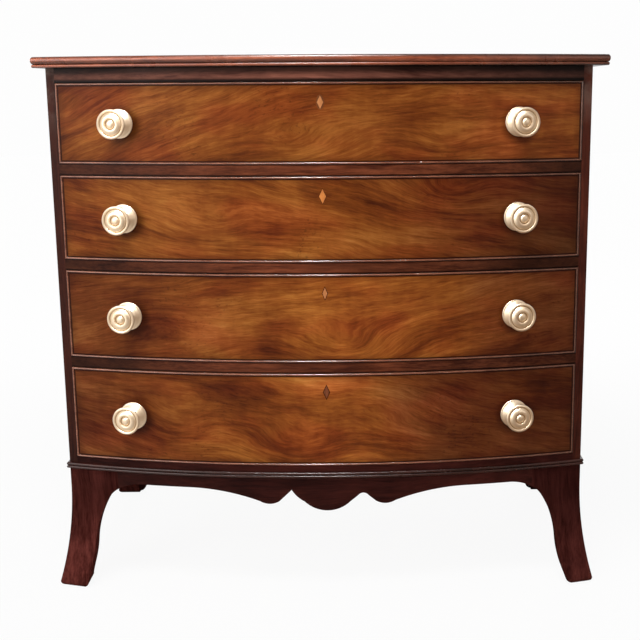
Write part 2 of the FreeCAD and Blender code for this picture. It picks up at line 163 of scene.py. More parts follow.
def spread(tree, value, low, high, toLow=0.0, toHigh=1.0):
    # a smooth step from low to high
    inputs = {"Value": value, "From Min": low, "From Max": high, "To Min": toLow, "To Max": toHigh}
    return addNode(tree, "ShaderNodeMapRange", inputs, interpolation_type="SMOOTHSTEP").outputs[0]


def noise(tree, vector, scale, detail=3.0, rough=0.5):
    inputs = {"Vector": vector, "Scale": scale, "Detail": detail, "Roughness": rough}
    return addNode(tree, "ShaderNodeTexNoise", inputs).outputs["Fac"]


def ramp(tree, value, stops):
    stops = list(stops)
    made = addNode(tree, "ShaderNodeValToRGB", {"Fac": value})
    points = made.color_ramp.elements
    while len(points) < len(stops):
        points.new(0.5)
    for point, (place, colour) in zip(points, stops):
        point.position = place
        point.color = (*colour, 1)
    return made.outputs["Color"]


def mapped(tree, vector, turn=(0, 0, 0), scale=(1, 1, 1), move=(0, 0, 0)):
    made = addNode(tree, "ShaderNodeMapping", {"Vector": vector, "Location": move, "Scale": scale,
                                               "Rotation": [math.radians(a) for a in turn]})
    return made.outputs[0]


def newGroup(name, takes, gives):
    tree = bpy.data.node_groups.new(name, "ShaderNodeTree")
    for label, kind, value in takes:
        socket = tree.interface.new_socket(label, in_out="INPUT", socket_type="NodeSocket" + kind)
        if value is not None:
            socket.default_value = value
    for label, kind in gives:
        tree.interface.new_socket(label, in_out="OUTPUT", socket_type="NodeSocket" + kind)
    return tree, tree.nodes.new("NodeGroupInput").outputs


def makeFigureGroup():
    # wood grain in layers: broad bands, streaks, fine lines, pores and clouds
    tree, given = newGroup(
        "woodFigure",
        [("Along", "Float", 0.0), ("Across", "Float", 0.0), ("Deep", "Float", 0.0), ("Seed", "Float", 0.0),
         ("Streaks", "Float", 90.0), ("Stretch", "Float", 12.0)],
        [("Band", "Float"), ("Streak", "Float"), ("Line", "Float"), ("Pore", "Float"), ("Cloud", "Float")])

    def sample(fineness, length, detail, rough=0.55):
        # fineness and length are shares of the number and the stretch of the streaks
        crossways = times(tree, given["Streaks"], fineness)
        along = calc(tree, "DIVIDE", crossways, times(tree, given["Stretch"], length))
        x = plus(tree, times(tree, given["Along"], along), given["Seed"])
        y = times(tree, given["Across"], crossways)
        z = plus(tree, times(tree, given["Deep"], crossways), given["Seed"])
        place = addNode(tree, "ShaderNodeCombineXYZ", {0: x, 1: y, 2: z})
        return noise(tree, place.outputs[0], 1.0, detail, rough)

    addNode(tree, "NodeGroupOutput", {
        "Band": sample(0.25, 0.75, 2.0),
        "Streak": sample(1.0, 1.0, 4.0, 0.6),
        "Line": sample(3.6, 1.6, 3.0, 0.6),
        "Pore": spread(tree, sample(9.0, 1.3, 2.0), 0.6, 0.72),
        "Cloud": sample(0.12, 0.2, 3.0),
    })
    return tree


def makeWearGroup():
    # marks of handling: a change of sheen, fine scratches and dirt
    tree, given = newGroup(
        "handling", [("Vector", "Vector", None), ("Size", "Float", 8.0)],
        [("Smudge", "Float"), ("Scratch", "Float"), ("Grime", "Float")])
    smudge = noise(tree, given["Vector"], given["Size"], 5.0, 0.65)
    fine = mapped(tree, given["Vector"], turn=(20, 35, 25), scale=(30, 900, 900))
    other = mapped(tree, given["Vector"], turn=(-50, 10, -60), scale=(700, 25, 700))
    scratch = calc(tree, "MAXIMUM", spread(tree, noise(tree, fine, 1.0, 2.0), 0.66, 0.74),
                   spread(tree, noise(tree, other, 1.0, 2.0), 0.68, 0.76))
    grimeAndShade = noise(tree, given["Vector"], 23.0, 6.0, 0.7)
    addNode(tree, "NodeGroupOutput", {"Smudge": smudge, "Scratch": scratch, "Grime": grimeAndShade})
    return tree


figureGroup = makeFigureGroup()
wearGroup = makeWearGroup()


def startMaterial(name):
    made = bpy.data.materials.new(name)
    tree = emptyTree(made)
    shader = addNode(tree, "ShaderNodeBsdfPrincipled")
    addNode(tree, "ShaderNodeOutputMaterial", {0: shader.outputs[0]})
    place = addNode(tree, "ShaderNodeTexCoord").outputs["Object"]
    return made, tree, shader, place


def placeGroup(tree, group, inputs):
    return addNode(tree, "ShaderNodeGroup", inputs, node_tree=group).outputs


def bumped(tree, shader, height, strength, distance=0.0004):
    bump = addNode(tree, "ShaderNodeBump", {"Height": height, "Strength": strength, "Distance": distance})
    feed(tree, shader, {"Normal": bump.outputs[0]})


def placeAxes(tree, place, order):
    # the piece's own directions as along, across and into the wood
    parts = addNode(tree, "ShaderNodeSeparateXYZ", {0: place}).outputs
    return [parts["XYZ".index(letter)] for letter in order]


veneerLook = {
    "tones": [(0.18, (0.058, 0.011, 0.0024)), (0.38, (0.16, 0.0375, 0.0063)), (0.53, (0.255, 0.073, 0.011)),
              (0.66, (0.36, 0.121, 0.0198)), (0.84, (0.52, 0.21, 0.043))],
    "wisp": (0.045, 0.009, 0.0035, 1),
    # edge is the colour of the painted shade and grime against the beads and round the knobs
    "edge": (0.016, 0.0035, 0.0018, 1),
    "redPatch": (1.02, 0.8, 0.92, 1),      # tints
    "redEnds": (1.04, 0.92, 1.45, 1),
    "specular": 0.07,
    "roughness": 0.3,
    # which grain, which of its layers, and how much of it
    "layers": [("main", "Band", 0.46), ("main", "Streak", 0.42), ("main", "Line", 0.34),
               ("under", "Streak", 0.22), ("under", "Line", 0.24), ("main", "Cloud", 0.72)],
    "ripple": 0.1,
    "wobble": 0.0095,       # metres
    "tremble": 0.0022,
    "underLean": 0.1,
    "wisps": 0.3,           # how much of the dark colour they hold
    "pores": 0.26,
    "knots": 0.42,
    "endWave": 0.22,        # metres by which the dark of the ends wanders
    "beadShadeAndGrime": (0.0036, 0.0004),      # metres from a bead
    "softShadeAndGrime": (0.016, 0.0),
    "softShare": 0.28,
    "knobShadowAndDirt": 0.62,           # painted shadow and dirt round a knob
    "knobShadowReach": (0.039, 0.023),
    "knobShadowMove": (0.003, -0.004),        # right and up
    "mostShadeAndGrime": 0.92,
}
# curls are (x, z, rise of the grain, width, height) in metres
veneerFigures = {
    "top_drawer": {
        "seed": 3.7, "slope": 0.2, "bend": -0.3, "wander": 0.062,
        "curls": [(-0.03, 0.79, 0.018, 0.07, 0.035), (0.12, 0.806, -0.014, 0.06, 0.035),
                  (0.21, 0.8, 0.012, 0.06, 0.03)],
        "shade": [(-0.44, 0.73), (-0.36, 0.87), (0.0, 0.85), (0.16, 0.83), (0.3, 0.81), (0.44, 0.79)]},
    "second_drawer": {
        "seed": 11.2, "slope": -0.17, "bend": -0.05, "wander": 0.07,
        "curls": [(-0.2, 0.66, 0.024, 0.08, 0.04), (0.02, 0.63, -0.024, 0.1, 0.04),
                  (0.22, 0.715, 0.028, 0.06, 0.03)],
        "shade": [(-0.44, 0.76), (-0.34, 0.9), (-0.2, 0.88), (0.0, 0.93), (0.12, 0.82), (0.24, 0.59),
                  (0.44, 0.21)]},
    "third_drawer": {
        "seed": 24.9, "slope": 0.15, "bend": 0.04, "wander": 0.07,
        "curls": [(0.04, 0.44, 0.045, 0.09, 0.05), (-0.3, 0.5, -0.018, 0.09, 0.04)],
        "shade": [(-0.44, 0.5), (-0.3, 0.69), (-0.1, 0.88), (0.04, 1.2), (0.2, 0.96), (0.3, 0.59),
                  (0.44, 0.37)]},
    "bottom_drawer": {
        "seed": 38.4, "slope": -0.12, "bend": -0.03, "wander": 0.06,
        "curls": [(-0.05, 0.262, 0.045, 0.1, 0.05), (-0.26, 0.3, 0.026, 0.07, 0.045),
                  (0.1, 0.36, -0.022, 0.12, 0.04)],
        "shade": [(-0.44, 0.42), (-0.3, 0.74), (-0.1, 0.97), (0.04, 1.16), (0.2, 0.47), (0.44, 0.32)]},
}


def gauss(tree, value, centre, width):
    offset = calc(tree, "DIVIDE", minus(tree, value, centre), width)
    return calc(tree, "POWER", math.e, times(tree, offset, offset, -1.0))


def shadeAlong(tree, value, stops, half=0.45):
    # a grey that changes from end to end, as (place, level) stops
    share = calc(tree, "DIVIDE", plus(tree, value, half), 2 * half, clamp=True)
    colours = [((place + half) / (2 * half), (level, level, level)) for place, level in stops]
    return ramp(tree, share, colours)


def polish(tree, shader, colour, grain, wear, look, scratches, line, bump, depth):
    # colour, sheen and open grain, for veneers and plain woods
    rough = spread(tree, wear["Smudge"], 0.3, 0.75, look["roughness"], look["roughness"] + 0.14)
    rough = plus(tree, rough, times(tree, wear["Scratch"], scratches))
    feed(tree, shader, {"Base Color": colour, "Roughness": rough, "Specular IOR Level": look["specular"]})
    bumped(tree, shader, minus(tree, times(tree, grain["Line"], line), grain["Pore"]), bump, depth)


def makeVeneer(name):
    figure = veneerFigures[name]
    low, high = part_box(name + "_cock_beads")
    made, tree, shader, place = startMaterial("flameMahogany_" + name)
    x, z = placeAxes(tree, place, "XZ")
    seed = figure["seed"]
    # the grain leans, bends, wanders and runs round the curls
    lean = times(tree, x, plus(tree, figure["slope"], times(tree, x, figure["bend"])))
    wander = noise(tree, mapped(tree, place, scale=(2.8, 0, 7.0), move=(seed, seed, 0)), 1.0, 2.0, 0.45)
    wobble = noise(tree, mapped(tree, place, scale=(14, 0, 30), move=(0, seed, seed)), 1.0, 3.0, 0.5)
    tremble = noise(tree, mapped(tree, place, scale=(70, 0, 110), move=(0, seed, seed)), 1.0, 2.0, 0.5)
    across = swung(tree, minus(tree, z, lean), [(wander, figure["wander"]), (wobble, veneerLook["wobble"]),
                                                (tremble, veneerLook["tremble"])])
    for curlX, curlZ, rise, width, height in figure["curls"]:
        curl = times(tree, gauss(tree, x, curlX, width), gauss(tree, z, curlZ, height), rise)
        across = plus(tree, across, curl)
    # interlocked grain lies under the main one and leans a little the other way
    crossed = plus(tree, across, times(tree, x, veneerLook["underLean"]))
    grains = {
        "main": placeGroup(tree, figureGroup, {"Along": x, "Across": across, "Seed": seed,
                                               "Streaks": 120.0, "Stretch": 10.0}),
        "under": placeGroup(tree, figureGroup, {"Along": x, "Across": crossed, "Seed": seed + 50,
                                                "Streaks": 190.0, "Stretch": 7.0}),
    }
    layers = [(grains[which][layer], weight) for which, layer, weight in veneerLook["layers"]]
    # light that runs across the grain
    ripple = noise(tree, mapped(tree, place, scale=(75, 0, 16), move=(seed, 0, 0)), 1.0, 2.0)
    tone = swung(tree, 0.5, layers + [(ripple, veneerLook["ripple"])])
    colour = ramp(tree, tone, veneerLook["tones"])
    patch = noise(tree, mapped(tree, place, scale=(6, 0, 14), move=(seed, 0, seed)), 1.0, 3.0)
    colour = mixColour(tree, spread(tree, patch, 0.42, 0.66), colour,
                       tinted(tree, colour, veneerLook["redPatch"]))
    # dark wisps, pores and small knots
    grain = grains["main"]
    wisp = times(tree, spread(tree, grain["Band"], 0.5, 0.3), spread(tree, grain["Streak"], 0.54, 0.38))
    colour = mixColour(tree, times(tree, wisp, veneerLook["wisps"]), colour, veneerLook["wisp"])
    cluster = spread(tree, noise(tree, place, 7.0, 2.0), 0.5, 0.66)
    knots = spread(tree, noise(tree, mapped(tree, place, scale=(150, 150, 230)), 1.0, 2.0, 0.6), 0.58, 0.7)
    specks = calc(tree, "MAXIMUM", times(tree, grain["Pore"], veneerLook["pores"]),
                  times(tree, cluster, knots, veneerLook["knots"]))
    colour = mixColour(tree, specks, colour, veneerLook["wisp"])
    # painted shade falling off towards the ends darkens them, together with old polish that is redder there
    level = shadeAlong(tree, swung(tree, x, [(grain["Cloud"], veneerLook["endWave"])]), figure["shade"])
    colour = tinted(tree, colour, level)
    colour = mixColour(tree, spread(tree, level, 1.0, 0.35), colour, tinted(tree, colour, veneerLook["redEnds"]))
    # painted shade and grime against the beads
    edge = cockBead["thickness"]
    gaps = [minus(tree, z, low.z + edge), minus(tree, high.z - edge, z),
            minus(tree, high.x - edge, calc(tree, "ABSOLUTE", x))]
    near = calc(tree, "MINIMUM", calc(tree, "MINIMUM", gaps[0], gaps[1]), gaps[2])
    grimeAndShade = plus(tree, spread(tree, near, *veneerLook["beadShadeAndGrime"]),
                 times(tree, spread(tree, near, *veneerLook["softShadeAndGrime"]), veneerLook["softShare"]))
    # and painted shadow with dirt round the knobs, more below them and to their right
    right, up = veneerLook["knobShadowMove"]
    outward = minus(tree, calc(tree, "ABSOLUTE", minus(tree, x, right)), knobShape["spread"] / 2)
    upward = minus(tree, z, (low.z + high.z) / 2 + up)
    away = addNode(tree, "ShaderNodeCombineXYZ", {0: outward, 1: upward})
    away = addNode(tree, "ShaderNodeVectorMath", {0: away.outputs[0]}, operation="LENGTH").outputs["Value"]
    knobShadowAndDirt = times(tree, spread(tree, away, *veneerLook["knobShadowReach"]), veneerLook["knobShadowAndDirt"])
    grimeAndShade = calc(tree, "MINIMUM", calc(tree, "MAXIMUM", grimeAndShade, knobShadowAndDirt), veneerLook["mostShadeAndGrime"])
    colour = mixColour(tree, grimeAndShade, colour, veneerLook["edge"])
    wear = placeGroup(tree, wearGroup, {"Vector": place})
    polish(tree, shader, colour, grain, wear, veneerLook, scratches=0.08, line=0.3, bump=0.12, depth=0.0002)
    return made


# order is along, across and into the wood; the rims hold painted shade and dirt at the lower and upper edge,
# in millimetres; shade holds painted light and shade levels along X, heights holds painted highlight and shade
# levels from bottom to top, and at turnover, a stretch along X, heights gives way to rightHeights
woodLooks = {
    "railMahogany": {
        "dark": (0.035, 0.007, 0.0028), "light": (0.175, 0.047, 0.0185), "order": "XZY", "streaks": 130,
        "roughness": 0.3, "specular": 0.09, "seed": 7, "shadedRims": (2.8, 2.8),
        "shades": {
            "upper_divider": [(-0.46, 0.36), (-0.37, 0.64), (-0.2, 1.05), (0.0, 1.65), (0.12, 1.34),
                              (0.3, 1.05), (0.4, 0.32), (0.46, 0.2)],
            "middle_divider": [(-0.46, 0.24), (-0.36, 0.66), (-0.22, 0.85), (-0.07, 1.85), (0.06, 0.8),
                               (0.2, 1.05), (0.29, 0.4), (0.34, 0.28), (0.46, 0.34)],
            "lower_divider": [(-0.46, 0.26), (-0.33, 0.45), (-0.22, 1.25), (0.0, 1.25), (0.13, 1.42), (0.22, 1.0),
                              (0.38, 0.88), (0.46, 0.4)]}},
    "friezeMahogany": {
        "dark": (0.045, 0.0125, 0.0085), "light": (0.185, 0.068, 0.044), "order": "XZY", "streaks": 90,
        "roughness": 0.34, "specular": 0.1, "seed": 5, "shadedRims": (6.5, 2.5),
        # heights paint shade under the overhang of the top board, a lighter band lower down and shade near the
        # bottom; the lower rim paints the shade over the top drawer
        "heights": [(0.0, 0.3), (0.08, 0.45), (0.14, 0.95), (0.2, 1.4), (0.32, 1.55), (0.44, 1.3),
                    (0.5, 1.05), (0.56, 0.82), (0.62, 0.62), (0.68, 0.4), (0.8, 0.28), (1.0, 0.25)],
        "shade": [(-0.46, 0.66), (-0.36, 0.8), (-0.2, 1.27), (0.0, 1.75), (0.25, 0.7), (0.46, 0.25)]},
    "sideMahogany": {
        "dark": (0.015, 0.0026, 0.0014), "light": (0.07, 0.0145, 0.007), "order": "ZXY", "streaks": 110,
        "roughness": 0.34, "specular": 0.1, "seed": 2, "shade": [(-0.48, 0.78), (0.0, 0.9), (0.48, 1.62)],
        # a greyish painted sheen near the top of the front edge
        "paintedSheen": {"heights": (0.8, 0.91), "depths": (0.03, 0.008), "share": 0.65,
                  "colour": (0.17, 0.115, 0.09, 1)}},
    "baseMahogany": {
        "dark": (0.015, 0.0028, 0.0022), "light": (0.056, 0.011, 0.0075), "order": "XZY", "streaks": 110,
        "roughness": 0.36, "specular": 0.06, "seed": 9,
        "shade": [(-0.46, 0.72), (-0.2, 0.85), (0.0, 1.05), (0.46, 1.0)]},
    "footMahogany": {
        "dark": (0.02, 0.004, 0.0032), "light": (0.082, 0.02, 0.0155), "order": "ZXY", "streaks": 150,
        "roughness": 0.44, "specular": 0.0, "seed": 13,
        "shade": [(-0.49, 0.98), (-0.4, 0.92), (0.4, 0.64), (0.49, 0.58)],
        "toe": {"heights": (0.2, 0.02), "level": 2.1}},
    "mouldingMahogany": {
        "dark": (0.014, 0.0034, 0.0024), "light": (0.055, 0.014, 0.009), "order": "XZY", "streaks": 110,
        "roughness": 0.16, "specular": 0.38, "seed": 19},
    "redTop": {
        "dark": (0.15, 0.032, 0.014), "light": (0.4, 0.105, 0.046), "order": "XYZ", "streaks": 80,
        "roughness": 0.2, "specular": 0.55, "seed": 12, "shadedRims": (0.4, 0.6),
        # heights paint highlights on the crowns of the two reeds and shade in the groove between them;
        # rightHeights paint a wider sheen on the right
        "heights": [(0.0, 0.35), (0.1, 0.9), (0.19, 1.5), (0.26, 0.85), (0.31, 0.3), (0.36, 0.42),
                    (0.5, 0.5), (0.62, 0.95), (0.74, 1.65), (0.84, 1.05), (0.93, 0.5), (1.0, 0.4)],
        "turnover": (0.02, 0.16),
        "rightHeights": [(0.0, 0.35), (0.1, 0.9), (0.19, 1.5), (0.27, 1.15), (0.34, 1.2), (0.46, 1.55),
                         (0.6, 2.0), (0.7, 1.95), (0.78, 1.2), (0.9, 0.45), (1.0, 0.35)],
        "shade": [(-0.48, 1.15), (-0.25, 1.15), (-0.1, 0.95), (0.05, 0.95), (0.12, 0.82), (0.25, 0.56),
                  (0.36, 0.36), (0.48, 0.22)]},
    "topFace": {
        "dark": (0.05, 0.01, 0.0045), "light": (0.2, 0.052, 0.02), "order": "XYZ", "streaks": 60,
        "roughness": 0.26, "specular": 0.35, "seed": 14},
    "bead": {
        "dark": (0.17, 0.046, 0.02), "light": (0.42, 0.155, 0.085), "order": "XZY", "streaks": 300,
        "roughness": 0.08, "specular": 0.75, "seed": 17,
        "shade": [(-0.45, 0.85), (0.0, 0.85), (0.15, 0.8), (0.3, 0.55), (0.45, 0.35)]},
    "oakAlongX": {
        "dark": (0.2, 0.098, 0.042), "light": (0.42, 0.24, 0.112), "order": "XYZ", "streaks": 90,
        "roughness": 0.62, "specular": 0.25, "seed": 27},
    "pineLevel": {
        "dark": (0.22, 0.12, 0.05), "light": (0.42, 0.26, 0.12), "order": "XYZ", "streaks": 60,
        "roughness": 0.7, "specular": 0.2, "seed": 33},
    "pineUpright": {
        "dark": (0.15, 0.072, 0.03), "light": (0.34, 0.185, 0.08), "order": "ZXY", "streaks": 50,
        "roughness": 0.75, "specular": 0.2, "seed": 36, "boards": 3},
    "core": {
        "dark": (0.13, 0.05, 0.022), "light": (0.27, 0.12, 0.055), "order": "XZY", "streaks": 90,
        "roughness": 0.6, "specular": 0.2, "seed": 41},
}
woodLooks["oakAlongY"] = {**woodLooks["oakAlongX"], "order": "YXZ", "seed": 31}
# the rear feet stand in the dark, and their toes are not made lighter
woodLooks["rearFootMahogany"] = {key: value for key, value in woodLooks["footMahogany"].items() if key != "toe"}
# the thin woods of the inlays: dark, light, roughness, specular and seed
inlayWoods = {
    "boxwood": ((0.46, 0.14, 0.03), (0.7, 0.25, 0.06), 0.35, 0.12, 21.0),
    "boxwoodDull": ((0.44, 0.15, 0.048), (0.68, 0.29, 0.105), 0.35, 0.12, 22.0),
    "inlayBrown": ((0.11, 0.03, 0.012), (0.24, 0.075, 0.03), 0.35, 0.08, 24.0),
    "burntLine": ((0.05, 0.0095, 0.002), (0.12, 0.026, 0.006), 0.4, 0.06, 23.0),
    "faintLine": ((0.13, 0.038, 0.012), (0.22, 0.07, 0.02), 0.4, 0.06, 25.0),
}
for name, (dark, light, roughness, specular, seed) in inlayWoods.items():
    woodLooks[name] = {"dark": dark, "light": light, "order": "ZXY", "streaks": 500, "roughness": roughness,
                       "specular": specular, "seed": seed}


grainLook = {
    "layers": [("Band", 0.9), ("Streak", 1.1), ("Line", 0.8), ("Cloud", 0.7)],
    "sway": 0.05,        # metres
    "shake": 0.006,
    "stretch": 12.0,
    "tones": (0.15, 0.85),
    "pores": 0.5,
    "grimeAndShade": 0.82,       # level where the wood is dirtiest
    "shadeAndDirt": (0.008, 0.0015, 0.0008, 1),
    "shadeAndDirtShare": 0.85,
    "boardTones": (0.95, 0.16),
    "jointDust": 0.35,
}


def addRims(tree, colour, x, z, look, node):
    # painted shade and dirt along the lower and upper edge, and painted highlights and shade up the height of the
    # piece
    low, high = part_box(node)
    below, above = (width * mm for width in look["shadedRims"])
    rimShade = calc(tree, "MAXIMUM", spread(tree, minus(tree, z, low.z), below, 0.3 * below),
                spread(tree, minus(tree, high.z, z), above, 0.3 * above))
    colour = mixColour(tree, times(tree, rimShade, grainLook["shadeAndDirtShare"]), colour, grainLook["shadeAndDirt"])
    if "heights" not in look:
        return colour
    half = (high.z - low.z) / 2
    raised = minus(tree, z, low.z + half)
    levels = [shadeAlong(tree, raised, [((share * 2 - 1) * half, level) for share, level in look[stops]], half)
              for stops in ("heights", "rightHeights") if stops in look]
    if "turnover" in look:
        levels = [mixColour(tree, spread(tree, x, *look["turnover"]), *levels)]
    return tinted(tree, colour, levels[0])


def makeWood(name, node=None):
    look = woodLooks[name]
    made, tree, shader, place = startMaterial(name if node is None else name + "_" + node)
    along, across, deep = placeAxes(tree, place, look["order"])
    sway = noise(tree, mapped(tree, place, scale=(3, 3, 3), move=(look["seed"], 0, 0)), 1.0, 2.0)
    shake = noise(tree, mapped(tree, place, scale=(25, 25, 25), move=(look["seed"], 0, 0)), 1.0, 2.0)
    across = swung(tree, across, [(sway, grainLook["sway"]), (shake, grainLook["shake"])])
    grain = placeGroup(tree, figureGroup, {"Along": along, "Across": across, "Deep": deep, "Seed": look["seed"],
                                           "Streaks": look["streaks"], "Stretch": grainLook["stretch"]})
    tone = swung(tree, 0.5, [(grain[layer], weight) for layer, weight in grainLook["layers"]])
    colour = ramp(tree, tone, zip(grainLook["tones"], (look["dark"], look["light"])))
    colour = mixColour(tree, times(tree, grain["Pore"], grainLook["pores"]), colour, (*look["dark"], 1))
    x, y, z = placeAxes(tree, place, "XYZ")
    stops = look["shades"][node] if "shades" in look else look.get("shade")
    if stops:
        colour = tinted(tree, colour, shadeAlong(tree, x, stops, 0.5))
    if "boards" in look:
        # each board of its own tone, with dust in the joints between them
        low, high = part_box("backboards")
        count = calc(tree, "DIVIDE", minus(tree, x, low.x), (high.x - low.x) / look["boards"])
        middle, change = grainLook["boardTones"]
        tones = times(tree, calc(tree, "SINE", times(tree, calc(tree, "FLOOR", count), 2.3)), change)
        joint = calc(tree, "ABSOLUTE", minus(tree, calc(tree, "FRACT", plus(tree, count, 0.5)), 0.5))
        dust = spread(tree, joint, 0.002, 0.012, grainLook["jointDust"], 1.0)
        colour = tinted(tree, colour, greyOf(tree, times(tree, plus(tree, tones, middle), dust)))
    if "toe" in look:
        # the front feet lighter towards the floor
        rubbed = spread(tree, z, *look["toe"]["heights"], 1.0, look["toe"]["level"])
        colour = tinted(tree, colour, greyOf(tree, rubbed))
    if "paintedSheen" in look:
        # painted sheen, greyish, near the top of the front edges
        paintedSheen = look["paintedSheen"]
        faded = times(tree, spread(tree, z, *paintedSheen["heights"]),
                      spread(tree, y, *(sideLow.y + depth for depth in paintedSheen["depths"])))
        patchy = spread(tree, noise(tree, place, 30.0, 4.0, 0.6), 0.3, 0.62)
        colour = mixColour(tree, times(tree, faded, times(tree, patchy, paintedSheen["share"])), colour, paintedSheen["colour"])
    if node:
        colour = addRims(tree, colour, x, z, look, node)
    wear = placeGroup(tree, wearGroup, {"Vector": place})
    colour = tinted(tree, colour, greyOf(tree, spread(tree, wear["Grime"], 0.35, 0.7, 1.0, grainLook["grimeAndShade"])))
    polish(tree, shader, colour, grain, wear, look, scratches=0.1, line=0.4, bump=0.2, depth=0.0003)
    return made


brassLooks = {
    "knobBrass": {"colour": (0.91, 0.74, 0.55), "stain": (0.8, 0.58, 0.38), "roughness": 0.4},
    "grooveBrass": {"colour": (0.52, 0.4, 0.27), "stain": (0.42, 0.3, 0.18), "roughness": 0.5},
    "nutBrass": {"colour": (0.55, 0.38, 0.18), "stain": (0.3, 0.19, 0.09), "roughness": 0.42},
}


def makeBrass(name):
    look = brassLooks[name]
    made, tree, shader, place = startMaterial(name)
    wear = placeGroup(tree, wearGroup, {"Vector": place, "Size": 60.0})
    cover = spread(tree, wear["Smudge"], 0.45, 0.75)
    colour = mixColour(tree, times(tree, cover, 0.4), (*look["colour"], 1), (*look["stain"], 1))
    rough = plus(tree, look["roughness"], times(tree, cover, 0.14))
    rough = plus(tree, rough, times(tree, wear["Scratch"], 0.04))
    feed(tree, shader, {"Base Color": colour, "Roughness": rough, "Metallic": 1.0})
    bumped(tree, shader, wear["Grime"], 0.03, 0.0002)
    return made


makeCamera()
looks = {name: makeWood(name) for name in woodLooks if "shadedRims" not in woodLooks[name]}
looks.update({name: makeBrass(name) for name in brassLooks})
print("materials made")


def finishPiece(name, bm, body, material, replaced, smoothAngle=35):
    bmesh.ops.remove_doubles(bm, verts=bm.verts, dist=0.000002)
    bmesh.ops.recalc_face_normals(bm, faces=bm.faces)
    mesh = toMesh(bm, name)
    mesh.polygons.foreach_set("use_smooth", [True] * len(mesh.polygons))
    mesh.set_sharp_from_angle(angle=math.radians(smoothAngle))
    made = placed(name, mesh)
    mesh.materials.append(material)
    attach(made, body)
    if replaced:
        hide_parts(*replaced)
    return made


def addLoop(bm, points):
    verts = [bm.verts.new(p) for p in points]
    edges = [bm.edges.new((a, b)) for a, b in zip(verts, verts[1:] + verts[:1])]
    return verts, edges


def roundedNose(centre, radius, steps):
    # points on a half circle that bulges outward, from the lowest one up
    out, z = centre
    angles = [math.radians(180 * n / steps - 90) for n in range(steps + 1)]
    return [(out + radius * math.cos(angle), z + radius * math.sin(angle)) for angle in angles]


def everything(bm):
    return bm.verts[:] + bm.edges[:] + bm.faces[:]


def vertsOf(geom):
    return [v for v in geom if isinstance(v, bmesh.types.BMVert)]


def turnVerts(bm, verts, angle, centre=(0, 0, 0), axis="Z"):
    bmesh.ops.rotate(bm, cent=centre, matrix=Matrix.Rotation(angle, 3, axis), verts=verts)


def closeEnds(bm):
    bmesh.ops.holes_fill(bm, edges=[e for e in bm.edges if e.is_boundary], sides=0)


def cut(bm, place, normal):
    # takes away what lies on the side that normal points to
    bmesh.ops.bisect_plane(bm, geom=everything(bm), dist=0.000001, plane_co=place, plane_no=normal,
                           clear_outer=True)
    closeEnds(bm)


def trimEnds(bm, reach):
    for side in (1, -1):
        cut(bm, (side * reach, 0, 0), (side, 0, 0))


def sweepBow(bm, profile, reach, steps=96):
    # a profile of (out, z) points carried round the bow, past x = +-reach
    turn = math.asin(reach / bowRadius) + 0.01
    verts, edges = addLoop(bm, [(0, crownY - out, z) for out, z in profile])
    turnVerts(bm, verts, -turn, bowCentre)
    bmesh.ops.spin(bm, geom=verts + edges, cent=bowCentre, axis=(0, 0, 1), angle=2 * turn, steps=steps)
    closeEnds(bm)


def extrudeLoop(bm, points, along):
    edges = addLoop(bm, points)[1]
    made = bmesh.ops.extrude_edge_only(bm, edges=edges)
    bmesh.ops.translate(bm, verts=vertsOf(made["geom"]), vec=along)
    closeEnds(bm)


def joined(target, source):
    # adds one bmesh to another
    mesh = toMesh(source, "part")
    target.from_mesh(mesh)
    bpy.data.meshes.remove(mesh)


topEdge = {
    "lowerShare": 0.3,      # height of the lower reed over the board's thickness
    "lowerInset": 1.2 * mm,
    "upperDepth": 4.4 * mm,  # how far each reed is rounded back
    "lowerDepth": 2.2 * mm,
    "roundSteps": 10,
    "arcSteps": 96,
}


def boardLoop(bm, inset, z, low, high):
    # the outline of the board, drawn in by inset
    before = set(bm.edges)
    centre = Vector(((low.x + high.x) / 2, bowCentreY, 0))
    radius = bowCentreY - low.y - inset
    turn = math.asin(((high.x - low.x) / 2 - inset) / radius)
    first = bm.verts.new((centre.x, bowCentreY - radius, z))
    turnVerts(bm, [first], -turn, centre)
    spun = bmesh.ops.spin(bm, geom=[first], cent=centre, axis=(0, 0, 1), angle=2 * turn,
                          steps=topEdge["arcSteps"])
    last = vertsOf(spun["geom_last"])[0]
    rear = [bm.verts.new((end.co.x, backY, z)) for end in (first, last)]
    for pair in ((first, rear[0]), (last, rear[1]), rear):
        bm.edges.new(pair)
    return [e for e in bm.edges if e not in before]


def makeTopBoard():
    low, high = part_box("top_board")
    seam = low.z + topEdge["lowerShare"] * (high.z - low.z)
    bm = bmesh.new()
    loops = []
    for inset, depth, bottom, top in ((topEdge["lowerInset"], topEdge["lowerDepth"], low.z, seam),
                                      (0, topEdge["upperDepth"], seam, high.z)):
        for out, z in roundedNose((0, 0), 1.0, topEdge["roundSteps"]):
            level = (bottom + top) / 2 + z * (top - bottom) / 2
            loops.append(boardLoop(bm, inset + depth * (1 - out), level, low, high))
    for lower, upper in zip(loops, loops[1:]):
        bmesh.ops.bridge_loops(bm, edges=lower + upper)
    closeEnds(bm)
    made = finishPiece("top_board_reeded", bm, "carcass", makeWood("redTop", "top_board"), ["top_board"],
                       40)
    made.data.materials.append(looks["topFace"])
    for face in made.data.polygons:
        if face.normal.z > 0.95:
            face.material_index = 1


baseMoulding = {"roundSteps": 8}


def mouldingProfile(low, high, depth):
    radius = (high - low) / 4
    steps = baseMoulding["roundSteps"]
    points = [(0, low)]
    for centre in (low + radius, high - radius):
        points += roundedNose((depth - radius, centre), radius, steps)
    # the two rounds meet at one point
    del points[steps + 1]
    return points + [(0, high)]


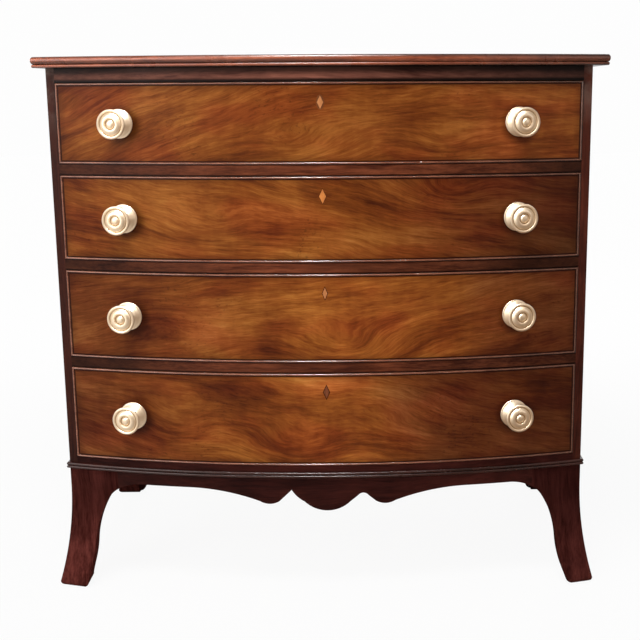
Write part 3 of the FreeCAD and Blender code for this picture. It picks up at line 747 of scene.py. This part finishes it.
def makeMouldings():
    low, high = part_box("base_moulding_right")
    depth = high.x - caseHalf
    profile = mouldingProfile(low.z, high.z, depth)
    slope = math.asin(caseHalf / bowRadius)
    corner = Vector((caseHalf, bowY(caseHalf), 0))
    along = Vector((1 + math.sin(slope), -math.cos(slope), 0)).normalized()   # line of the mitre
    across = Vector((-along.y, along.x, 0))
    for side, name in ((1, "right"), (-1, "left")):
        bm = bmesh.new()
        frontEnd = bowY(caseHalf) - 3 * depth
        extrudeLoop(bm, [(caseHalf + out, frontEnd, z) for out, z in profile], (0, backY - frontEnd, 0))
        cut(bm, corner, -across)
        if side < 0:
            bmesh.ops.mirror(bm, geom=everything(bm), axis="X", merge_dist=-1)
            bmesh.ops.delete(bm, geom=[v for v in bm.verts if v.co.x > 0], context="VERTS")
        finishPiece("base_moulding_run_" + name, bm, "carcass", looks["mouldingMahogany"],
                    ["base_moulding_" + name])
    bm = bmesh.new()
    sweepBow(bm, profile, caseHalf + 2 * depth)
    cut(bm, corner, across)
    cut(bm, (-corner.x, corner.y, 0), (-across.x, across.y, 0))
    finishPiece("base_moulding_run_front", bm, "carcass", looks["mouldingMahogany"], ["base_moulding_front"])


cockBead = {"thickness": 3.0 * mm, "proud": 2.0 * mm, "depth": 8.0 * mm, "noseSteps": 8,
            "frontThickness": 22.0 * mm, "hairline": 0.02 * mm}


def beadProfile(z0, depth):
    radius = cockBead["thickness"] / 2
    centre = (cockBead["proud"] - radius, z0 + radius)
    nose = roundedNose(centre, radius, cockBead["noseSteps"])
    return [(-depth, z0)] + nose + [(-depth, z0 + 2 * radius)]


def makeBeads(name):
    low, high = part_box(name + "_cock_beads")
    thick = cockBead["thickness"]
    reach = high.x
    whole = bmesh.new()
    for z0, edge, up in ((high.z - thick, high.z, 1), (low.z, low.z, -1)):
        bm = bmesh.new()
        sweepBow(bm, beadProfile(z0, cockBead["depth"]), reach)
        for side in (1, -1):
            cut(bm, (side * reach, 0, edge), (side, 0, -up))
        joined(whole, bm)
    # the upright beads, square to the sides of the drawer
    radius = thick / 2
    middle = reach - radius
    noseY = bowY(middle, cockBead["proud"]) + radius
    plan = [(middle + out, noseY - y) for y, out in roundedNose((0, 0), radius, cockBead["noseSteps"])]
    rear = bowY(middle, -cockBead["depth"])
    plan = [(middle - radius, rear)] + plan + [(middle + radius, rear)]
    for side in (1, -1):
        bm = bmesh.new()
        extrudeLoop(bm, [(side * x, y, low.z) for x, y in plan], (0, 0, high.z - low.z))
        cut(bm, (side * reach, 0, high.z), (-side, 0, 1))
        cut(bm, (side * reach, 0, low.z), (-side, 0, -1))
        joined(whole, bm)
    # the rest of the top bead, over the thickness of the front
    bm = bmesh.new()
    z0 = high.z - thick
    rear, fore = cockBead["frontThickness"], cockBead["depth"] + cockBead["hairline"]
    sweepBow(bm, [(-rear, z0), (-fore, z0), (-fore, high.z), (-rear, high.z)], reach)
    trimEnds(bm, reach)
    joined(whole, bm)
    finishPiece(name + "_beading", whole, name, looks["bead"], [name + "_cock_beads"])


# an inlay is a thin slip, and its surround starts deeper by step
veneerSheet = {"lift": 0.03 * mm, "thickness": 0.3 * mm, "inlay": 0.14 * mm, "step": 0.1 * mm}


def thinSheet(z0, z1, reach, steps=96):
    # a veneer laid on the bowed front
    lift = veneerSheet["lift"]
    top = lift + veneerSheet["thickness"]
    bm = bmesh.new()
    sweepBow(bm, [(lift, z0), (top, z0), (top, z1), (lift, z1)], reach, steps)
    trimEnds(bm, reach)
    return bm


def makeVeneerSheet(name):
    low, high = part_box(name + "_cock_beads")
    edge = cockBead["thickness"]
    bm = thinSheet(low.z + edge, high.z - edge, high.x - edge, 128)
    finishPiece(name + "_veneer", bm, name, makeVeneer(name), ())


def makeBottomFacing():
    # the mahogany edge of the bottom board
    low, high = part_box("bottom_board")
    finishPiece("bottom_board_facing", thinSheet(low.z, high.z, sideLow.x), "carcass", looks["baseMahogany"], ())


# turned profile as (radius, distance from the wood), in millimetres
knobShape = {
    "back": [(3.0, -29.0), (3.0, 0.0)],
    "rose": [(23.2, 0.0), (24.4, 0.8), (24.5, 1.9), (23.8, 2.7), (22.2, 3.1), (21.6, 3.4), (20.6, 4.3)],
    "waist": [(16.4, 6.6), (12.4, 10.0), (10.0, 14.0), (9.2, 17.6), (9.8, 21.4), (12.8, 25.2), (17.6, 28.2),
              (22.0, 30.2)],
    "rim": [(23.7, 31.2), (24.4, 32.5), (24.4, 33.8), (23.5, 34.9), (21.9, 35.5), (20.6, 35.1)],
    "face": [(19.8, 34.0), (19.1, 33.6), (18.4, 34.2), (17.3, 35.4), (15.2, 36.8), (12.8, 37.8), (10.6, 38.1),
             (9.6, 37.7), (8.9, 36.4), (8.1, 35.3), (7.3, 35.6), (6.4, 36.9), (4.8, 38.0), (2.4, 38.4),
             (0.0, 38.5)],
    "grooves": [(7.3, 9.2), (18.5, 20.1)],   # where dirt lies on the face
    "turns": 96,
    "spread": 668.0 * mm,      # between the two knob centres
}


def makeKnobs(name):
    low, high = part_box(name + "_knobs")
    middleZ = (low.z + high.z) / 2
    profile = [p for part in ("back", "rose", "waist", "rim", "face") for p in knobShape[part]]
    whole = bmesh.new()
    for side in (-1, 1):
        bm = bmesh.new()
        verts = [bm.verts.new((radius * mm, -out * mm, 0)) for radius, out in [(0, profile[0][1])] + profile]
        edges = [bm.edges.new(pair) for pair in zip(verts, verts[1:])]
        bmesh.ops.spin(bm, geom=verts + edges, cent=(0, 0, 0), axis=(0, 1, 0), angle=2 * math.pi,
                       steps=knobShape["turns"], use_merge=True)
        bmesh.ops.remove_doubles(bm, verts=bm.verts, dist=0.00001)
        for face in bm.faces:
            centre = face.calc_center_median()
            away = math.hypot(centre.x, centre.z)
            if -centre.y > knobShape["rim"][0][1] * mm:
                face.material_index = int(any(a * mm < away < b * mm for a, b in knobShape["grooves"]))
        turn = math.asin(side * knobShape["spread"] / 2 / bowRadius)
        turnVerts(bm, bm.verts, turn)
        place = Vector((bowRadius * math.sin(turn), bowCentreY - bowRadius * math.cos(turn), middleZ))
        bmesh.ops.translate(bm, verts=bm.verts, vec=place)
        joined(whole, bm)
    made = finishPiece(name + "_turned_knobs", whole, name, looks["knobBrass"], [name + "_knobs"],
                       30)
    made.data.materials.append(looks["grooveBrass"])


# sizes are across and up, in millimetres
inlayShapes = {
    "top_drawer": {"lozenge": (10.4, 21), "surround": (13.6, 24.5), "wood": "boxwoodDull", "line": "faintLine",
                   "oval": True},
    "second_drawer": {"lozenge": (11.4, 24), "surround": (13.4, 27), "wood": "boxwood", "line": "burntLine"},
    "third_drawer": {"lozenge": (8, 20), "surround": (11, 25), "wood": "boxwoodDull", "line": "burntLine"},
    "bottom_drawer": {"lozenge": (9, 22), "surround": (13, 28), "wood": "inlayBrown", "line": "burntLine"},
}


def makeInlay(name):
    low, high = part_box(name + "_inlay")
    shape = inlayShapes[name]
    middleX = (low.x + high.x) / 2
    middleZ = (low.z + high.z) / 2
    lift = veneerSheet["lift"] + veneerSheet["thickness"]
    for part, start, material in (("surround", lift - veneerSheet["step"], shape["line"]),
                                  ("lozenge", lift, shape["wood"])):
        size = shape[part]
        bm = bmesh.new()
        corners = 40 if part == "surround" and shape.get("oval") else 4
        bmesh.ops.create_circle(bm, cap_ends=True, radius=1.0, segments=corners)
        bmesh.ops.scale(bm, vec=(size[0] / 2 * mm, size[1] / 2 * mm, 1), verts=bm.verts)
        made = bmesh.ops.extrude_face_region(bm, geom=bm.faces[:])
        bmesh.ops.translate(bm, verts=vertsOf(made["geom"]), vec=(0, 0, veneerSheet["inlay"]))
        turnVerts(bm, bm.verts, math.radians(90), axis="X")
        bmesh.ops.translate(bm, verts=bm.verts, vec=(middleX, crownY - start, middleZ))
        replaced = [name + "_inlay"] if part == "lozenge" else []
        finishPiece(name + "_inlay_" + part, bm, name, looks[material], replaced)


# front feet: the right toe is worn round inside, the left one is a little wider; levels are in millimetres
wornToe = {"radius": 24.0 * mm, "levels": [1.5, 3.5, 6.5, 10.0, 13.0, 17.0, 20.5]}
# how far the inner edge goes out at each height, in millimetres
wideToe = {0.0: 1.4, 2.5: 1.9, 6.0: 2.8, 9.0: 3.1, 11.6: 3.1, 15.0: 2.4, 19.0: 1.6, 22.5: 1.1, 26.0: 0.7,
           30.0: 0.3, 34.0: 0.0}


def copyNode(name):
    bm = bmesh.new()
    bm.from_mesh(nodes[name].data)
    bm.transform(nodes[name].matrix_world)
    return bm


def startFoot(name, levels):
    bm = copyNode(name)
    bmesh.ops.remove_doubles(bm, verts=bm.verts, dist=0.00001)
    for level in levels:
        bmesh.ops.bisect_plane(bm, geom=everything(bm), dist=0.00001, plane_co=(0, 0, level * mm),
                               plane_no=(0, 0, 1))
    return bm


def finishFoot(name, bm):
    bmesh.ops.remove_doubles(bm, verts=bm.verts, dist=0.00002)
    bmesh.ops.dissolve_degenerate(bm, edges=bm.edges, dist=0.00002)
    # slivers left between points that came together
    fins = [face for face in bm.faces if all(len(edge.link_faces) != 2 for edge in face.edges)]
    bmesh.ops.delete(bm, geom=fins, context="FACES_ONLY")
    finishPiece(name + "_worn", bm, "carcass", looks["footMahogany"], [name], 30)


def alongBow(v, x):
    # moves a point sideways along the bow, so that it stays on the surface
    out = (v.co.xy - bowCentre.xy).length
    v.co.x = x
    v.co.y = bowCentreY - math.sqrt(out ** 2 - x ** 2)


def makeWornFoot():
    bm = startFoot("front_right_foot", wornToe["levels"])
    radius = wornToe["radius"]
    edge = min(v.co.x for v in bm.verts if v.co.z < radius)
    for v in bm.verts:
        if v.co.z < radius:
            rise = max(v.co.z, 0.0)
            limit = edge + radius - math.sqrt(radius ** 2 - (radius - rise) ** 2)
            if v.co.x < limit:
                alongBow(v, limit)
    finishFoot("front_right_foot", bm)


def makeWideFoot():
    levels = sorted(wideToe)
    bm = startFoot("front_left_foot", levels[1:])
    rows = []
    for level in levels:
        row = [v.co.x for v in bm.verts if abs(v.co.z - level * mm) < 0.00002]
        rows.append(Vector((level * mm, min(row), max(row), wideToe[level] * mm)))
    thickness = max(v.co.y - bowY(v.co.x) for v in bm.verts)
    for v in bm.verts:
        z = max(v.co.z, 0.0)
        if z < rows[-1][0]:
            below, above = next(pair for pair in zip(rows, rows[1:]) if z <= pair[1][0])
            level, outer, inner, by = below.lerp(above, (z - below[0]) / (above[0] - below[0]))
            inward = min(max((v.co.x - outer) / (inner - outer), 0.0), 1.0)
            # less at the back of the foot
            by *= 1 - 0.8 * (v.co.y - bowY(v.co.x)) / thickness
            alongBow(v, v.co.x + by * inward)
    finishFoot("front_left_foot", bm)


# the lower ends of the corner glue blocks are bevelled out of sight
glueBlock = {"endHeight": 1.0 * mm}      # how near its lowest points the end of a block is taken to be


def makeGlueBlocks():
    bm = copyNode("glue_blocks")
    lowest = min(v.co.z for v in bm.verts)
    ends = [v for v in bm.verts if v.co.z < lowest + glueBlock["endHeight"]]
    outer = max(abs(v.co.x) for v in ends)
    for v in ends:
        v.co.z += outer - abs(v.co.x)
    finishPiece("glue_blocks_bevelled", bm, "carcass", looks["pineLevel"], ["glue_blocks"])


makeTopBoard()
makeWornFoot()
makeWideFoot()
makeGlueBlocks()
makeMouldings()
makeBottomFacing()
for name in drawerNames:
    makeBeads(name)
    makeVeneerSheet(name)
    makeKnobs(name)
    makeInlay(name)
print("pieces made")


# woods for the case and the drawer boxes
nodeWoods = {
    "friezeMahogany": ["top_front_rail"],
    "railMahogany": ["upper_divider", "middle_divider", "lower_divider"],
    "baseMahogany": ["front_apron", "left_side_apron", "right_side_apron"],
    "sideMahogany": ["left_side", "right_side"],
    "rearFootMahogany": ["rear_left_foot", "rear_right_foot"],
    "pineLevel": ["top_rear_rail", "bottom_board", "dustboards", "drawer_stops"],
    "pineUpright": ["backboards"],
    "oakAlongY": ["drawer_runners_and_kickers"],
}
drawerWoods = {"core": ["front"], "oakAlongY": ["left_side", "right_side"], "oakAlongX": ["back", "bottom"],
               "nutBrass": ["knob_nuts"]}


def dressNode(name, material):
    for slot in nodes[name].material_slots:
        slot.material = material


for look, names in nodeWoods.items():
    for name in names:
        dressNode(name, looks[look] if look in looks else makeWood(look, name))
for drawer in drawerNames:
    for look, names in drawerWoods.items():
        for name in names:
            dressNode(drawer + "_" + name, looks[look])
print("case dressed")


stageLook = {
    "floorSize": 14.0,
    "floorColour": (0.86, 0.86, 0.86, 1),
    "whiteShare": 0.93,             # how much of the floor's own white shows near the object
    "farShare": 0.985,
    "fade": (0.6, 2.2),             # metres between the two
    "dullShare": 0.85,
    "worldColour": (0.15, 0.15, 0.15, 1),
    "backdropColour": (0.985, 0.985, 0.985, 1),
    "dimRoom": (0.26, 0.165, 0.095, 1),
    "brightRoom": (0.95, 0.92, 0.86, 1),
    "ceiling": (0.4, 0.38, 0.35, 1),
    "white": (1, 1, 1, 1),
}
lamps = [
    {"name": "window", "place": (-2.4, -2.8, 1.8), "size": (2.0, 2.4), "watts": 65},
    {"name": "roomFill", "place": (2.4, -2.6, 1.5), "size": (2.0, 2.0), "watts": 11},
    {"name": "overhead", "place": (-0.22, -1.5, 3.0), "size": (0.9, 0.7), "watts": 50},
    {"name": "sheenStrip", "place": (-0.18, -1.5, 3.0), "size": (0.3, 0.8), "watts": 60, "sheenOnly": True},
    {"name": "behind", "place": (0.6, 3.0, 2.4), "size": (2.0, 2.0), "watts": 30},
]


def raysOf(tree):
    # what the camera sees, and what is seen in polish and metal
    path = addNode(tree, "ShaderNodeLightPath").outputs
    return path["Is Camera Ray"], calc(tree, "MAXIMUM", path["Is Glossy Ray"], path["Is Transmission Ray"])


def roomColour(tree, across, dimAt, brightAt):
    # the room in front of the object, with a bright left side and a dim right one
    return mixColour(tree, spread(tree, across, dimAt, brightAt), stageLook["dimRoom"], stageLook["brightRoom"])


def mixShaders(tree, share, first, second):
    return addNode(tree, "ShaderNodeMixShader", {0: share, 1: first.outputs[0], 2: second.outputs[0]})


def makeFloor():
    bm = bmesh.new()
    bmesh.ops.create_grid(bm, x_segments=1, y_segments=1, size=stageLook["floorSize"])
    mesh = toMesh(bm, "floor")
    floor = placed("floor", mesh)
    made = bpy.data.materials.new("paleFloor")
    tree = emptyTree(made)
    matt = addNode(tree, "ShaderNodeBsdfDiffuse", {"Color": stageLook["floorColour"]})
    white = addNode(tree, "ShaderNodeEmission", {"Strength": 1.0})
    camera, mirrored = raysOf(tree)
    # polish on the front sees a duller floor than the one behind
    place = addNode(tree, "ShaderNodeTexCoord").outputs["Object"]
    across, depth = placeAxes(tree, place, "XY")
    behind = spread(tree, depth, -0.3, 0.4)
    seen = calc(tree, "MAXIMUM", camera, times(tree, mirrored, behind))
    away = addNode(tree, "ShaderNodeVectorMath", {0: place}, operation="LENGTH").outputs["Value"]
    share = spread(tree, away, *stageLook["fade"], stageLook["whiteShare"], stageLook["farShare"])
    mixed = mixShaders(tree, times(tree, seen, share), matt, white)
    room = addNode(tree, "ShaderNodeEmission", {"Color": roomColour(tree, across, 0.4, -1.0)})
    dull = times(tree, mirrored, minus(tree, 1.0, behind), stageLook["dullShare"])
    mixed = mixShaders(tree, dull, mixed, room)
    addNode(tree, "ShaderNodeOutputMaterial", {0: mixed.outputs[0]})
    mesh.materials.append(made)


def makeWorld():
    # white behind the object; polish and metal also see a dimmer room in front of it
    world = bpy.data.worlds.new("studio")
    bpy.context.scene.world = world
    tree = emptyTree(world)
    camera, mirrored = raysOf(tree)
    across, depth, height = placeAxes(tree, addNode(tree, "ShaderNodeTexCoord").outputs["Generated"], "XYZ")
    room = mixColour(tree, spread(tree, height, 0.1, 0.8), roomColour(tree, across, 0.15, -0.45),
                     stageLook["ceiling"])
    reflected = mixColour(tree, spread(tree, depth, -0.1, 0.5), room, stageLook["white"])
    seen = mixColour(tree, mirrored, stageLook["worldColour"], reflected)
    seen = mixColour(tree, camera, seen, stageLook["backdropColour"])
    backdrop = addNode(tree, "ShaderNodeBackground", {"Color": seen})
    addNode(tree, "ShaderNodeOutputWorld", {0: backdrop.outputs[0]})


def makeLamps():
    for lamp in lamps:
        data = bpy.data.lights.new(lamp["name"], "AREA")
        data.shape = "RECTANGLE"
        data.size, data.size_y = lamp["size"]
        data.energy = lamp["watts"]
        made = placed(lamp["name"], data)
        place = Vector(lamp["place"])
        aim = Vector((0, 0, 0.5)) - place
        made.matrix_world = Matrix.Translation(place) @ aim.to_track_quat("-Z", "Y").to_matrix().to_4x4()
        if lamp.get("sheenOnly"):
            made.visible_diffuse = False


makeFloor()
makeWorld()
makeLamps()
bpy.context.scene.view_settings.view_transform = "Standard"
print("stage lit")
